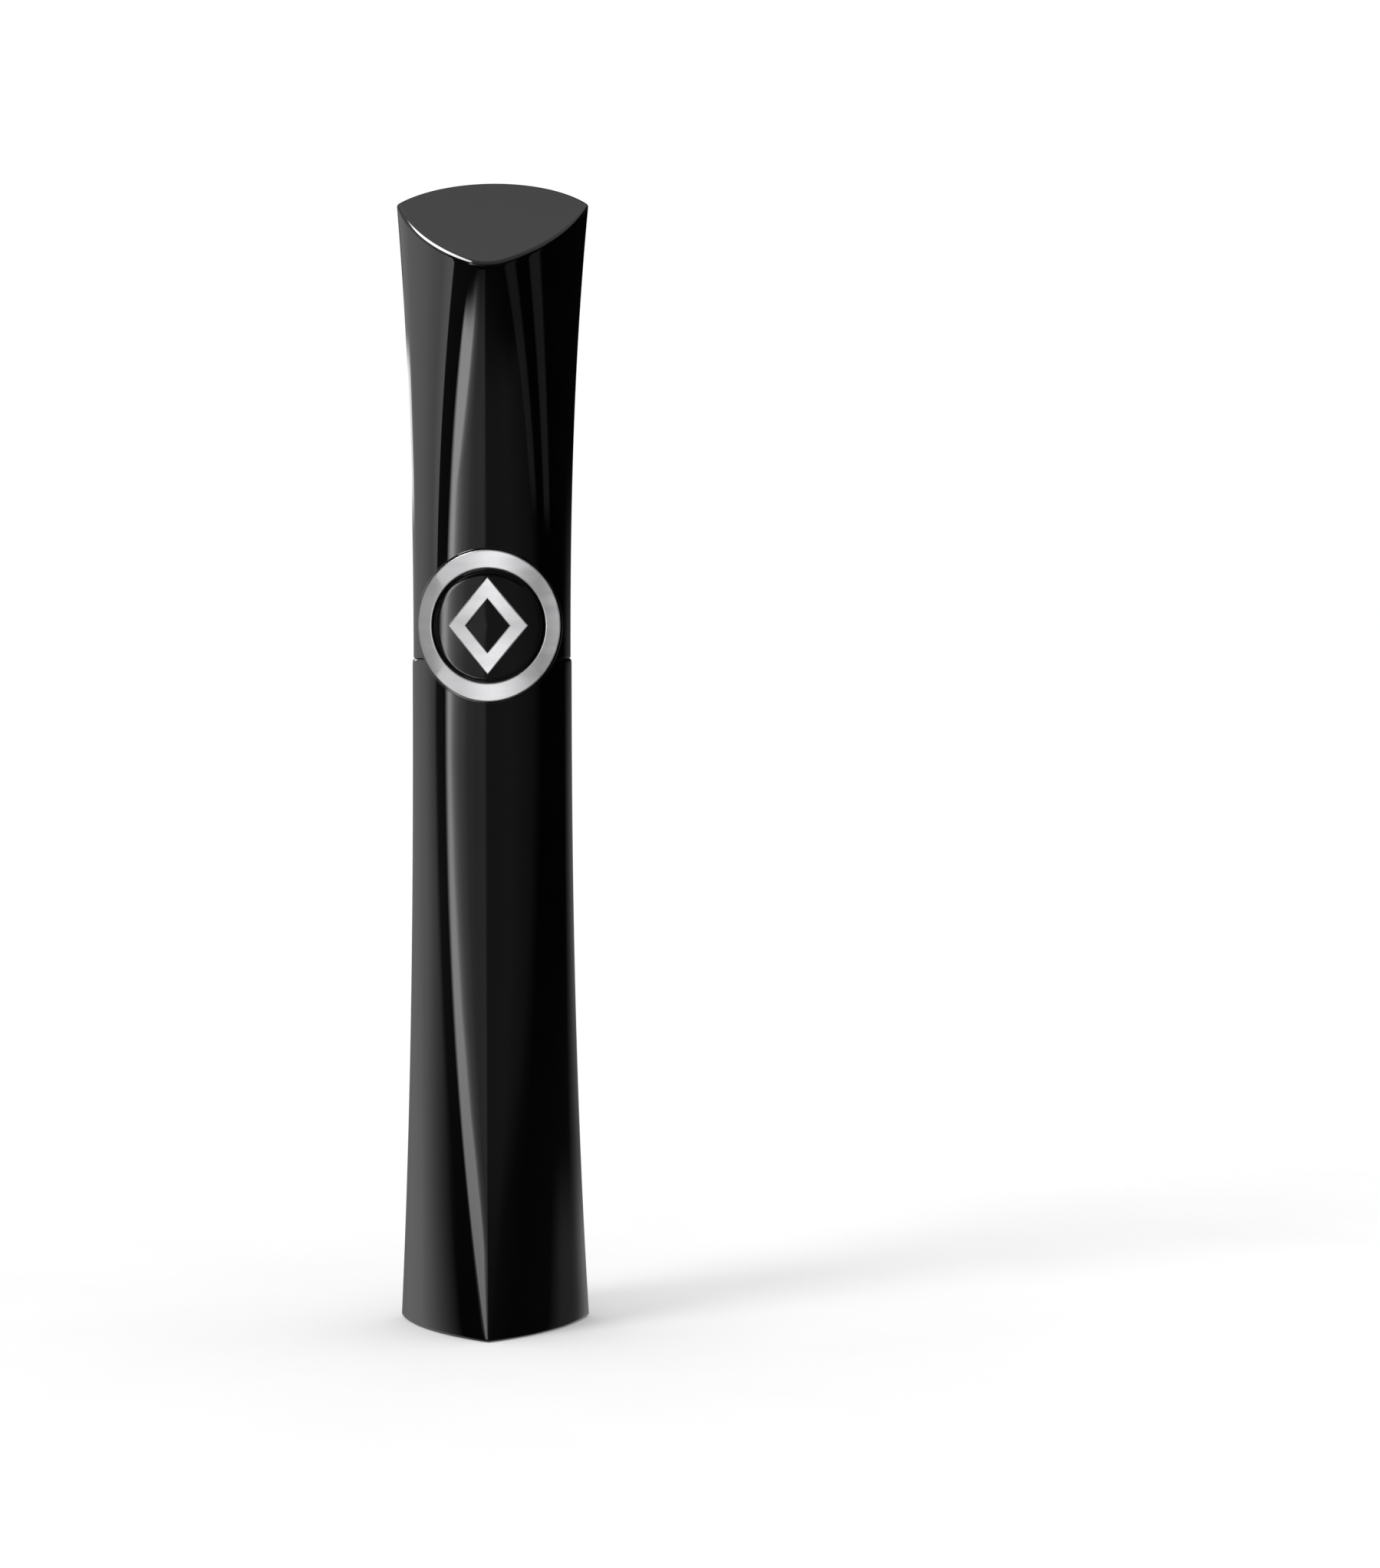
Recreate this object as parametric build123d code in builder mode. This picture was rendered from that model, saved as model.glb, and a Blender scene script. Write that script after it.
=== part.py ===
"""Mascara tube: a flared bottle with a threaded vial, and a cap that carries the brush on its stem.

Frame: +Z up along the tube, -Y towards the emblem, origin on the tube's axis in the plane it stands on.
Each body's section blends from a circle at the waist to a rounded triangle at its wide end.
"""
import math
import os

from build123d import *

os.makedirs("parts", exist_ok=True)

# ---------------------------------------------------------------- overall form
seam_z = 78.5            # where the bottle's shoulder ends
side_top_z = 131.8       # height of the cap's two side corners
top_slope = 0.523        # rise of the cap's top face towards the back, per mm
flare_power = 2.35       # how late the section opens out towards each end
waist_r = 9.32           # bottle radius at the seam
cap_waist_r = 9.2        # cap radius at the seam
cap_scale = 1.012        # the cap ends a little wider than the bottle
seam_gap = 0.08          # between the bottle's shoulder and the cap's rim

# rounded triangle at the wide ends, in its own plane
side_reach = 11.15       # axis to the side corners, across
side_back = 3.7          # side corners lie this far behind the axis
front_reach = 13.0       # axis to the front corner
back_reach = 9.4         # axis to the middle of the back
flank_reach = 9.15       # axis to the middle of each flank
corner_round = 0.8       # rounding of the three corners
base_edge_round = 0.4
top_edge_chamfer = 0.35
rim_round = 0.3
shoulder_drop = 1.0      # height of the shoulder's soft rounding
shoulder_step = 0.35     # how far the shoulder draws in
shoulder_crown = 0.25    # slope at which the rounding meets the flat

# ---------------------------------------------------------------- bottle inside
wall = 1.3
cavity_scale = 0.844     # cavity corners, as a share of the outer ones
deck = 1.8               # thickness of the shoulder that holds the vial's neck
plate_gap = 0.2          # the base plate sits this far above the ground
plate_thick = 1.2
plate_fit = 0.08
label_r = 6.5
label_thick = 0.12
label_margin = 0.1
vial_r = 7.6
vial_wall = 0.8
vial_floor_z = 1.5
vial_foot_chamfer = 1.2
vial_inner_chamfer = 0.9
vial_shoulder_height = 1.9
vial_taper_height = 2.2
deck_fit = 0.05          # between the vial's shoulder and the deck
neck_fit = 0.1           # between the neck and the deck's hole
neck_r = 5.7
neck_bore_r = 4.6
neck_top_z = 90.5
thread_pitch = 3.0
thread_turns = 1.5
thread_depth = 0.55
thread_lead = 2.2        # plain neck above the thread
ridge_root_half = 0.75
ridge_crest_half = 0.3
ridge_sink = 0.15        # how deep a ridge's root runs into its wall
collar_r = 8.3
collar_height = 1.2
collar_fit = 0.03
collar_chamfer = 0.3

# ---------------------------------------------------------------- wiper
flange_r = 5.6
flange_thick = 0.6
wiper_wall = 0.5
wiper_fit = 0.03
wiper_cone_top_z = 72.9
wiper_lip_z = 69.5
wiper_lip_height = 0.7
wiper_cone_drop = 0.3    # the cone starts this much lower outside than inside
orifice_r = 2.16

# ---------------------------------------------------------------- cap inside
rim_wall = 0.7
cap_bore_r = 7.9
cap_bore_top_r = 7.3
cap_bore_top_z = 116.9
liner_r = 7.83
liner_top_r = 7.6
liner_bottom_z = 80.4
liner_root_r = 6.8
liner_crest_r = 6.34
liner_step = 0.4         # the bore widens to the rim over this height
liner_edge = 0.3
liner_edge_height = 0.5
liner_thread_lift = 1.2
ceiling_z = 93.1
ceiling_thick = 1.4
socket_r = 4.0
socket_top_z = 99.9
socket_taper = 0.2
socket_fit = 0.03
liner_rib_count = 12
liner_rib_thick = 0.6
liner_rib_height = 1.5
liner_rib_inset = 0.3
gasket_thick = 0.8
gasket_r = 5.5
gasket_bore_r = 2.33
gasket_gap = 0.02

# ---------------------------------------------------------------- stem and brush
stem_r = 2.24
stem_bottom_z = 34.0
stem_tip_r = 1.85
stem_tip_length = 3.6
stem_tip_chamfer = 0.3
relief_r = 2.1
relief_bottom_z = 65.2
relief_top_z = 73.3
relief_ramp = 0.6
stem_flange_r = 5.0
stem_flange_thick = 0.9
stem_plug_r = 2.2
stem_plug_chamfer = 0.4
brush_tip_z = 4.1
bristle_bottom_z = 5.0
bristle_top_z = 32.4
bristle_rows = 50
bristles_per_row = 8
bristle_thick = 0.24
bristle_root_width = 0.42
bristle_tip_width = 0.16
long_waist_r = 3.13
long_tip_flare = 0.52
long_root_flare = 1.04
short_middle_r = 3.1
short_drop = 0.92
core_tip_r = 0.76
core_root_r = 1.26
shank_r = 1.1
shank_depth = 7.0
shank_fit = 0.02
shank_end_gap = 0.3
core_neck = 0.5          # the core narrows to the shank over this height
core_tip_edge = 0.3
ramp_start = 0.58        # the first long bristles reach this share of their length
ramp_rate = 3.5

# ---------------------------------------------------------------- emblem
emblem_z = 82.4
emblem_half_width = 8.45
emblem_half_height = 8.95
plate_inner_r = 9.46
plate_outer_r = 10.1
ring_outer_r = 10.7
ring_side_stroke = 1.62
ring_top_stroke = 2.1
ring_margin = 0.25
lozenge_half_width = 4.6
lozenge_half_height = 5.6
lozenge_stroke = 1.6
pad_margin = 1.6
pad_inner_r = 9.07
seat_r = 9.05
pad_bottom_z = 80.1
pad_fit = 0.05
peg_r = 0.75
peg_fit = 0.03
peg_heights = [82.7, 87.9]
peg_inner_r = 8.1

cap_rim_z = seam_z + seam_gap


def direction(angle):
    """Unit vector in the XY plane at an angle in degrees."""
    return Vector(math.cos(math.radians(angle)), math.sin(math.radians(angle)))


def core_corners(scale=1.0):
    """Centres of the three corner roundings, counter-clockwise from the front one."""
    front = Vector(0, corner_round - front_reach) * scale
    right = Vector(side_reach - corner_round, side_back) * scale
    left = Vector(-right.X, right.Y)
    return [front, right, left]


def core_sides():
    """For each side of the core triangle: its normal's angle, its sagitta and half its turn."""
    corners = core_corners()
    sides = []
    for index, reach in enumerate([flank_reach, back_reach, flank_reach]):
        start = corners[index]
        end = corners[(index + 1) % 3]
        chord = end - start
        normal = Vector(chord.Y, -chord.X).normalized()
        sagitta = reach - corner_round - (start + end).dot(normal) / 2
        half_turn = math.degrees(2 * math.atan(2 * sagitta / chord.length))
        sides.append((math.degrees(math.atan2(normal.Y, normal.X)), sagitta, half_turn))
    return sides


def section(z, spread, waist, scale=1.0, inset=0.0):
    """Face at height z: a circle of radius waist at spread 0, the rounded triangle at spread 1."""
    rounding = waist + (corner_round - waist) * spread - inset
    corners = core_corners(scale * spread)
    sides = core_sides()
    with BuildSketch(Plane.XY.offset(z)) as face:
        with BuildLine():
            for index in range(3):
                start = corners[index]
                end = corners[(index + 1) % 3]
                angle, sagitta, half_turn = sides[index]
                next_angle, _, next_half_turn = sides[(index + 1) % 3]
                side_start = start + direction(angle - half_turn) * rounding
                middle = (start + end) / 2 + direction(angle) * (rounding + sagitta * scale * spread)
                side_end = end + direction(angle + half_turn) * rounding
                ThreePointArc(side_start, middle, side_end)
                turn = (next_angle - next_half_turn - angle - half_turn) % 360
                corner_middle = end + direction(angle + half_turn + turn / 2) * rounding
                corner_end = end + direction(angle + half_turn + turn) * rounding
                ThreePointArc(side_end, corner_middle, corner_end)
        make_face()
    return face.sketch


def spread_at(fraction):
    """How far the section has opened at a fraction of the way from the waist to the end."""
    return fraction ** flare_power


def flare(waist, z_waist, z_end, steps=9, **shape):
    """Stack of sections from the waist to the wide end, ready to loft."""
    stack = []
    for step in range(steps + 1):
        fraction = step / steps
        z = z_waist + (z_end - z_waist) * fraction
        stack.append(section(z, spread_at(fraction), waist, **shape))
    return stack


def helical_ridge(root_r, height, z_start, outward):
    """A trapezoid thread ridge along a helix; outward is 1 on a neck and -1 in a cap."""
    with BuildPart() as ridge:
        with BuildLine() as path:
            Helix(thread_pitch, thread_pitch * thread_turns, root_r, center=(0, 0, z_start))
        with BuildSketch(Plane(origin=path.line @ 0, x_dir=(1, 0, 0), z_dir=path.line % 0)):
            with BuildLine():
                Polyline(
                    (-ridge_sink * outward, -ridge_root_half),
                    (height * outward, -ridge_crest_half),
                    (height * outward, ridge_crest_half),
                    (-ridge_sink * outward, ridge_root_half),
                    close=True,
                )
            make_face()
        sweep(path=path.line, is_frenet=True)
    return ridge.part


def front_band(inner_r, outer_r, margin=0.0, bottom_z=0.0):
    """A plate curved round the front, cut to the emblem's outline drawn in by a margin."""
    with BuildPart() as band:
        with Locations((0, 0, emblem_z)):
            Cylinder(outer_r, 4 * emblem_half_height)
            Cylinder(inner_r, 4 * emblem_half_height, mode=Mode.SUBTRACT)
        with BuildSketch(Plane.XZ):
            with Locations((0, emblem_z)):
                Ellipse(emblem_half_width - margin, emblem_half_height - margin)
        extrude(amount=2 * outer_r, mode=Mode.INTERSECT)
        split(bisect_by=Plane.XY.offset(bottom_z), keep=Keep.TOP)
    return band.part


def pegs(radius, start_r, end_r):
    """The pegs that locate the emblem plate, running forwards from start_r to end_r."""
    with BuildPart() as pair:
        with BuildSketch(Plane.XZ.offset(start_r)):
            with Locations(*[(0, height) for height in peg_heights]):
                Circle(radius)
        extrude(amount=end_r - start_r)
    return pair.part


def finish(piece, name):
    """Label a piece and write it out."""
    piece.part.label = name
    export_step(piece.part, f"parts/{name}.step")


# ---------------------------------------------------------------- bottle shell
cavity_top_z = seam_z - deck
base_rounding = base_edge_round * (1 - math.sqrt(0.5))

with BuildPart() as bottle_shell:
    flared = flare(waist_r, seam_z - shoulder_drop, base_edge_round)
    loft(sections=flared)
    edge = section(base_rounding, 1, waist_r, inset=base_rounding)
    foot = section(0, 1, waist_r, inset=base_edge_round)
    loft(sections=[flared[-1], edge, foot])
    with BuildSketch(Plane.XZ):
        with BuildLine():
            Line((0, seam_z - shoulder_drop), (waist_r, seam_z - shoulder_drop))
            Spline(
                (waist_r, seam_z - shoulder_drop),
                (waist_r - shoulder_step, seam_z),
                tangents=[(0, 1), (-1, shoulder_crown)],
            )
            Line((waist_r - shoulder_step, seam_z), (0, seam_z))
            Line((0, seam_z), (0, seam_z - shoulder_drop))
        make_face()
    revolve(axis=Axis.Z)
    loft(sections=flare(waist_r - wall, cavity_top_z, 0, scale=cavity_scale), mode=Mode.SUBTRACT)
    with Locations((0, 0, seam_z)):
        Hole(neck_r + neck_fit, depth=deck + 1)
finish(bottle_shell, "bottle_shell")

# ---------------------------------------------------------------- base plate and its blank label
plate_top_z = plate_gap + plate_thick
plate_spread = spread_at(1 - plate_top_z / cavity_top_z)

with BuildPart() as base_plate:
    blank = section(plate_gap, plate_spread, waist_r - wall, scale=cavity_scale, inset=plate_fit)
    extrude(blank, amount=plate_thick)
    with BuildSketch(Plane.XY.offset(plate_gap)):
        Circle(label_r + label_margin)
    extrude(amount=label_thick, mode=Mode.SUBTRACT)
finish(base_plate, "base_plate")

with BuildPart() as base_label:
    with BuildSketch(Plane.XY.offset(plate_gap)):
        Circle(label_r)
    extrude(amount=label_thick)
finish(base_label, "base_label")

# ---------------------------------------------------------------- vial
shoulder_z = cavity_top_z - vial_shoulder_height
vial_inner_r = vial_r - vial_wall
inner_floor_z = vial_floor_z + vial_wall
thread_start_z = neck_top_z - thread_pitch * thread_turns - thread_lead

with BuildPart() as vial:
    with BuildSketch(Plane.XZ):
        with BuildLine():
            Polyline(
                (0, vial_floor_z),
                (vial_r - vial_foot_chamfer, vial_floor_z),
                (vial_r, vial_floor_z + vial_foot_chamfer),
                (vial_r, shoulder_z),
                (neck_r, cavity_top_z - deck_fit),
                (neck_r, neck_top_z),
                (neck_bore_r, neck_top_z),
                (neck_bore_r, shoulder_z),
                (vial_inner_r, shoulder_z - vial_taper_height),
                (vial_inner_r, inner_floor_z + vial_inner_chamfer),
                (vial_inner_r - vial_inner_chamfer, inner_floor_z),
                (0, inner_floor_z),
                close=True,
            )
        make_face()
    revolve(axis=Axis.Z)
    add(helical_ridge(neck_r, thread_depth, thread_start_z, 1))
finish(vial, "vial")

# ---------------------------------------------------------------- neck collar
with BuildPart() as neck_collar:
    with BuildSketch(Plane.XY.offset(seam_z)):
        Circle(collar_r)
        Circle(neck_r + collar_fit, mode=Mode.SUBTRACT)
    extrude(amount=collar_height)
    chamfer(neck_collar.edges().group_by(Axis.Z)[-1].sort_by(SortBy.RADIUS)[-1], collar_chamfer)
finish(neck_collar, "neck_collar")

# ---------------------------------------------------------------- wiper
wiper_r = neck_bore_r - wiper_fit
wiper_inner_r = wiper_r - wiper_wall
wiper_top_z = neck_top_z + flange_thick

with BuildPart() as wiper:
    with BuildSketch(Plane.XZ):
        with BuildLine():
            Polyline(
                (flange_r, neck_top_z),
                (flange_r, wiper_top_z),
                (wiper_inner_r, wiper_top_z),
                (wiper_inner_r, wiper_cone_top_z),
                (orifice_r, wiper_lip_z + wiper_lip_height),
                (orifice_r, wiper_lip_z),
                (orifice_r + wiper_wall, wiper_lip_z),
                (wiper_r, wiper_cone_top_z - wiper_cone_drop),
                (wiper_r, neck_top_z),
                close=True,
            )
        make_face()
    revolve(axis=Axis.Z)
finish(wiper, "wiper")

# ---------------------------------------------------------------- cap shell
back_top_z = side_top_z + top_slope * (back_reach - side_back)
top_plane = Plane(origin=(0, side_back, side_top_z), x_dir=(1, 0, 0), z_dir=(0, -top_slope, 1))

with BuildPart() as cap_shell:
    flared = flare(cap_waist_r, cap_rim_z, side_top_z, scale=cap_scale)
    above = section(back_top_z + 1, 1, cap_waist_r, scale=cap_scale)
    loft(sections=flared + [above])
    split(bisect_by=top_plane, keep=Keep.BOTTOM)
    top_face = cap_shell.faces().filter_by(GeomType.PLANE).sort_by(Axis.Z)[-1]
    chamfer(top_face.edges(), top_edge_chamfer)
    fillet(cap_shell.faces().sort_by(Axis.Z)[0].edges(), rim_round)
    with BuildSketch(Plane.XZ):
        with BuildLine():
            Polyline(
                (0, cap_rim_z),
                (cap_waist_r - rim_wall, cap_rim_z),
                (cap_waist_r - rim_wall, liner_bottom_z),
                (cap_bore_r, liner_bottom_z + liner_step),
                (cap_bore_top_r, cap_bore_top_z),
                (0, cap_bore_top_z),
                close=True,
            )
        make_face()
    revolve(axis=Axis.Z, mode=Mode.SUBTRACT)
    seat = front_band(seat_r, 2 * seat_r, pad_margin - pad_fit, pad_bottom_z - pad_fit)
    add(seat, mode=Mode.SUBTRACT)
    add(pegs(peg_r + peg_fit, cap_bore_top_r, 2 * seat_r), mode=Mode.SUBTRACT)
finish(cap_shell, "cap_shell")

# ---------------------------------------------------------------- threaded liner
ceiling_top_z = ceiling_z + ceiling_thick
socket_bore_r = stem_plug_r + socket_fit
rib_sink = 0.1

with BuildPart() as inner_cap:
    with BuildSketch(Plane.XZ):
        with BuildLine():
            Polyline(
                (liner_root_r, liner_bottom_z),
                (liner_r - liner_edge, liner_bottom_z),
                (liner_r, liner_bottom_z + liner_edge_height),
                (liner_top_r, ceiling_top_z),
                (socket_r, ceiling_top_z),
                (socket_r - socket_taper, socket_top_z),
                (socket_bore_r, socket_top_z),
                (socket_bore_r, ceiling_z),
                (liner_root_r, ceiling_z),
                close=True,
            )
        make_face()
    revolve(axis=Axis.Z)
    add(helical_ridge(liner_root_r, liner_root_r - liner_crest_r, liner_bottom_z + liner_thread_lift, -1))
    with PolarLocations((socket_r + liner_top_r) / 2 - liner_rib_inset, liner_rib_count):
        with Locations((0, 0, ceiling_top_z - rib_sink)):
            Box(
                liner_top_r - socket_r,
                liner_rib_thick,
                liner_rib_height + rib_sink,
                align=(Align.CENTER, Align.CENTER, Align.MIN),
            )
finish(inner_cap, "inner_cap")

# ---------------------------------------------------------------- gasket
with BuildPart() as gasket:
    with BuildSketch(Plane.XY.offset(wiper_top_z + gasket_gap)):
        Circle(gasket_r)
        Circle(gasket_bore_r, mode=Mode.SUBTRACT)
    extrude(amount=gasket_thick)
finish(gasket, "gasket")

# ---------------------------------------------------------------- stem
flange_z = ceiling_z - stem_flange_thick
shank_bore_r = shank_r + shank_fit
shank_bore_top_z = stem_bottom_z + shank_depth + shank_end_gap

with BuildPart() as stem:
    with BuildSketch(Plane.XZ):
        with BuildLine():
            Polyline(
                (shank_bore_r, stem_bottom_z),
                (stem_tip_r - stem_tip_chamfer, stem_bottom_z),
                (stem_tip_r, stem_bottom_z + stem_tip_chamfer),
                (stem_r, stem_bottom_z + stem_tip_length),
                (stem_r, relief_bottom_z),
                (relief_r, relief_bottom_z + relief_ramp),
                (relief_r, relief_top_z - relief_ramp),
                (stem_r, relief_top_z),
                (stem_r, flange_z),
                (stem_flange_r, flange_z),
                (stem_flange_r, ceiling_z),
                (stem_plug_r, ceiling_z),
                (stem_plug_r, socket_top_z - stem_plug_chamfer),
                (stem_plug_r - stem_plug_chamfer, socket_top_z),
                (0, socket_top_z),
                (0, shank_bore_top_z),
                (shank_bore_r, shank_bore_top_z),
                close=True,
            )
        make_face()
    revolve(axis=Axis.Z)
finish(stem, "stem")

# ---------------------------------------------------------------- brush
field_length = bristle_top_z - bristle_bottom_z


def long_reach(place):
    """Tip radius of the long bristles: waisted along the field, with a short ramp at its end."""
    offset = 2 * place - 1
    flared = long_tip_flare if offset < 0 else long_root_flare
    ramp = min(1, ramp_start + ramp_rate * place)
    return (long_waist_r + flared * offset ** 2) * ramp


def short_reach(place):
    """Tip radius of the short bristles: barrel-shaped along the field."""
    return short_middle_r - short_drop * (2 * place - 1) ** 2


def bristle_star(row):
    """One row of bristles as a flat star that passes through the core."""
    place = (row + 0.5) / bristle_rows
    reach = short_reach(place) if row % 2 else long_reach(place)
    turn = 180 / bristles_per_row * (row % 2)
    with BuildPart() as star:
        with BuildSketch(Plane.XY.offset(bristle_bottom_z + field_length * place)):
            Circle(core_tip_r / 2)
            with BuildSketch(mode=Mode.PRIVATE) as finger:
                with BuildLine():
                    Polyline(
                        (0, -bristle_root_width / 2),
                        (reach, -bristle_tip_width / 2),
                        (reach, bristle_tip_width / 2),
                        (0, bristle_root_width / 2),
                        close=True,
                    )
                make_face()
            with PolarLocations(0, bristles_per_row, start_angle=turn):
                add(finger.sketch)
        extrude(amount=bristle_thick)
    return star.part


with BuildPart() as brush:
    with BuildSketch(Plane.XZ):
        with BuildLine():
            Polyline(
                (0, brush_tip_z),
                (core_tip_r - core_tip_edge, brush_tip_z),
                (core_tip_r, brush_tip_z + core_tip_edge),
                (core_root_r, bristle_top_z),
                (core_root_r, stem_bottom_z - core_neck),
                (shank_r, stem_bottom_z - shank_fit),
                (shank_r, stem_bottom_z + shank_depth),
                (0, stem_bottom_z + shank_depth),
                close=True,
            )
        make_face()
    revolve(axis=Axis.Z)
    add([bristle_star(row) for row in range(bristle_rows)])
finish(brush, "brush")

# ---------------------------------------------------------------- emblem
with BuildPart() as emblem_plate:
    add(front_band(plate_inner_r, plate_outer_r))
    add(front_band(pad_inner_r, plate_outer_r, pad_margin, pad_bottom_z))
    add(pegs(peg_r, peg_inner_r, plate_inner_r))
finish(emblem_plate, "emblem_plate")

with BuildPart() as emblem_ring:
    add(front_band(plate_outer_r, ring_outer_r, ring_margin))
    with BuildSketch(Plane.XZ):
        with Locations((0, emblem_z)):
            Ellipse(
                emblem_half_width - ring_margin - ring_side_stroke,
                emblem_half_height - ring_margin - ring_top_stroke,
            )
    extrude(amount=2 * ring_outer_r, mode=Mode.SUBTRACT)
finish(emblem_ring, "emblem_ring")

inner_width = lozenge_half_width - lozenge_stroke * math.hypot(1, lozenge_half_width / lozenge_half_height)
inner_height = inner_width * lozenge_half_height / lozenge_half_width

with BuildPart() as emblem_lozenge:
    add(front_band(plate_outer_r, ring_outer_r, ring_margin))
    with BuildSketch(Plane.XZ):
        with Locations((0, emblem_z)):
            for width, height, mode in [
                (lozenge_half_width, lozenge_half_height, Mode.ADD),
                (inner_width, inner_height, Mode.SUBTRACT),
            ]:
                Polygon((-width, 0), (0, -height), (width, 0), (0, height), align=None, mode=mode)
    extrude(amount=2 * ring_outer_r, mode=Mode.INTERSECT)
finish(emblem_lozenge, "emblem_lozenge")
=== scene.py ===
"""Looks of the mascara tube, built round the CAD frame. Lengths are in mm unless a name ends in _M."""

import math

import bpy
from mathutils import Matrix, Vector


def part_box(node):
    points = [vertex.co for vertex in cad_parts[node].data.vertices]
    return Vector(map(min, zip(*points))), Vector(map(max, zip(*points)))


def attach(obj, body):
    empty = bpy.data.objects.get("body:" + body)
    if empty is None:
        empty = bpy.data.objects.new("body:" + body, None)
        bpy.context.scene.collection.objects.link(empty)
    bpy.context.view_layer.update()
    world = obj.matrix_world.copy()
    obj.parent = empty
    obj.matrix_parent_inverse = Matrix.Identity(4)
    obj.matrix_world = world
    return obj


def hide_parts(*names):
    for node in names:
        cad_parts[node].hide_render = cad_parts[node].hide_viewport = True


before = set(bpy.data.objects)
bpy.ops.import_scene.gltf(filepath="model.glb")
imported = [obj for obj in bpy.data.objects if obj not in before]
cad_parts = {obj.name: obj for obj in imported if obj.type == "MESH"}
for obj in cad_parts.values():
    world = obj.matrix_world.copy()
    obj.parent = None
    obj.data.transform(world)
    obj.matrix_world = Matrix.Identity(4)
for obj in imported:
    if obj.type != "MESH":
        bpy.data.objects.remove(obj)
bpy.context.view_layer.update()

MM = 0.001

# ---------------------------------------------------------------- driving dimensions, mm
bottle_low, bottle_high = [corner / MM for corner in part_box("bottle_shell")]
cap_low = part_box("cap_shell")[0] / MM
plate_low, plate_high = [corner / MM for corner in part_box("emblem_plate")]
stem_low, stem_high = [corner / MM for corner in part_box("stem")]
brush_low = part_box("brush")[0] / MM
ring_low, ring_high = [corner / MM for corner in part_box("emblem_ring")]
lozenge_low, lozenge_high = [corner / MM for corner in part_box("emblem_lozenge")]
liner_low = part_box("inner_cap")[0] / MM

# Heights and flare: a circle at the seam, a rounded triangle at SIDE_TOP_Z and at the foot.
SEAM_Z = bottle_high.z
RIM_Z = cap_low.z - 0.05
SIDE_TOP_Z = 131.8
TOP_SLOPE = 0.523
FLARE_POWER = 2.35
WAIST_R = 9.32
CAP_WAIST_R = 9.2
CAP_SCALE = 1.012
WALL = 1.3
CAVITY_SCALE = 0.844
DECK = 1.8
NECK_HOLE_R = 5.8

# The rounded triangle, and the edges' roundings.
SIDE_REACH = bottle_high.x
SIDE_BACK = 3.7
FRONT_REACH = -bottle_low.y
BACK_REACH = bottle_high.y
FLANK_REACH = 9.15
CORNER_ROUND = 0.5
BASE_EDGE = 0.4
TOP_EDGE = 0.5
SHOULDER_DROP = 0.5
SHOULDER_STEP = 0.35
RIM_EDGE = 0.12
RIM_WALL = 0.7

# Points round a ring, and rings along a shell.
FLANK_POINTS = 56
BACK_POINTS = 52
CORNER_POINTS = 32
BOTTLE_LEVELS = 64
CAVITY_LEVELS = 24
CAP_LEVELS = 150

# The cap's bore, and the rounding between its flank and its slanted top.
CAP_BORE_TOP_Z = 116.9
CAP_BORE_TOP_R = 7.3
CAP_BORE_LOW_R = 7.9
CAP_BORE_STEP = 0.4
TOP_EDGE_STEPS = 7
TOP_EDGE_WEIGHT = 0.75
FLANK_PROBE = 0.5
TOP_MIDDLE_Y = 0.5
TOP_SHARES = [0.99, 0.9, 0.7, 0.45, 0.2]

# The emblem's disc, and the swell of the cap that carries it, as shares of the disc's half sizes.
EMBLEM_Z = (plate_low.z + plate_high.z) / 2
PLATE_HALF_WIDTH = plate_high.x
PLATE_HALF_HEIGHT = (plate_high.z - plate_low.z) / 2
PLATE_INNER_R = 9.46
PLATE_OUTER_R = 10.1
SWELL_REACH = 0.98
SWELL_FULL = 0.86
SWELL_HEIGHT = 0.2


# ---------------------------------------------------------------- mesh helpers
def make_piece(name, verts, faces, body, material, replaces=(), sharp=35):
    """A mesh from points in mm that rides on a body and stands for the named CAD nodes."""
    mesh = bpy.data.meshes.new(name)
    mesh.from_pydata([Vector(v) * MM for v in verts], [], faces)
    mesh.validate()
    mesh.shade_smooth()
    mesh.set_sharp_from_angle(angle=math.radians(sharp))
    mesh.materials.append(material)
    piece = bpy.data.objects.new(name, mesh)
    bpy.context.collection.objects.link(piece)
    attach(piece, body)
    if replaces:
        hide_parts(*replaces)
    return piece


def skin(rings, start_cap=False, end_cap=False, loop=False):
    """Vertices and faces of a tube through rings of equal length, closed at its ends or into a loop."""
    count = len(rings[0])
    verts = [point for ring in rings for point in ring]
    faces = []
    spans = len(rings) if loop else len(rings) - 1
    for level in range(spans):
        low = level * count
        high = (level + 1) % len(rings) * count
        for i in range(count):
            j = (i + 1) % count
            faces.append((low + i, low + j, high + j, high + i))
    for wanted, base, flip in [(start_cap, 0, True), (end_cap, (len(rings) - 1) * count, False)]:
        if not wanted:
            continue
        ring = rings[base // count]
        centre = sum((Vector(p) for p in ring), Vector()) / count
        verts.append(centre)
        hub = len(verts) - 1
        for i in range(count):
            j = (i + 1) % count
            faces.append((hub, base + j, base + i) if flip else (hub, base + i, base + j))
    return verts, faces


def flipped(faces):
    """The same faces, turned to look the other way."""
    return [tuple(reversed(face)) for face in faces]


def step_up(x, low, high):
    """0 below low, 1 above high and smooth between them."""
    t = min(1.0, max(0.0, (x - low) / (high - low)))
    return t * t * (3 - 2 * t)


def circle(radius, z, count, parting=0.0):
    """A level ring of points, with a fine parting line of the given height at its left and right."""
    step = 2 * math.pi / count
    points = []
    for i in range(count):
        out = radius + (parting if i % (count // 2) == 0 else 0)
        points.append((out * math.cos(i * step), out * math.sin(i * step), z))
    return points


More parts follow.
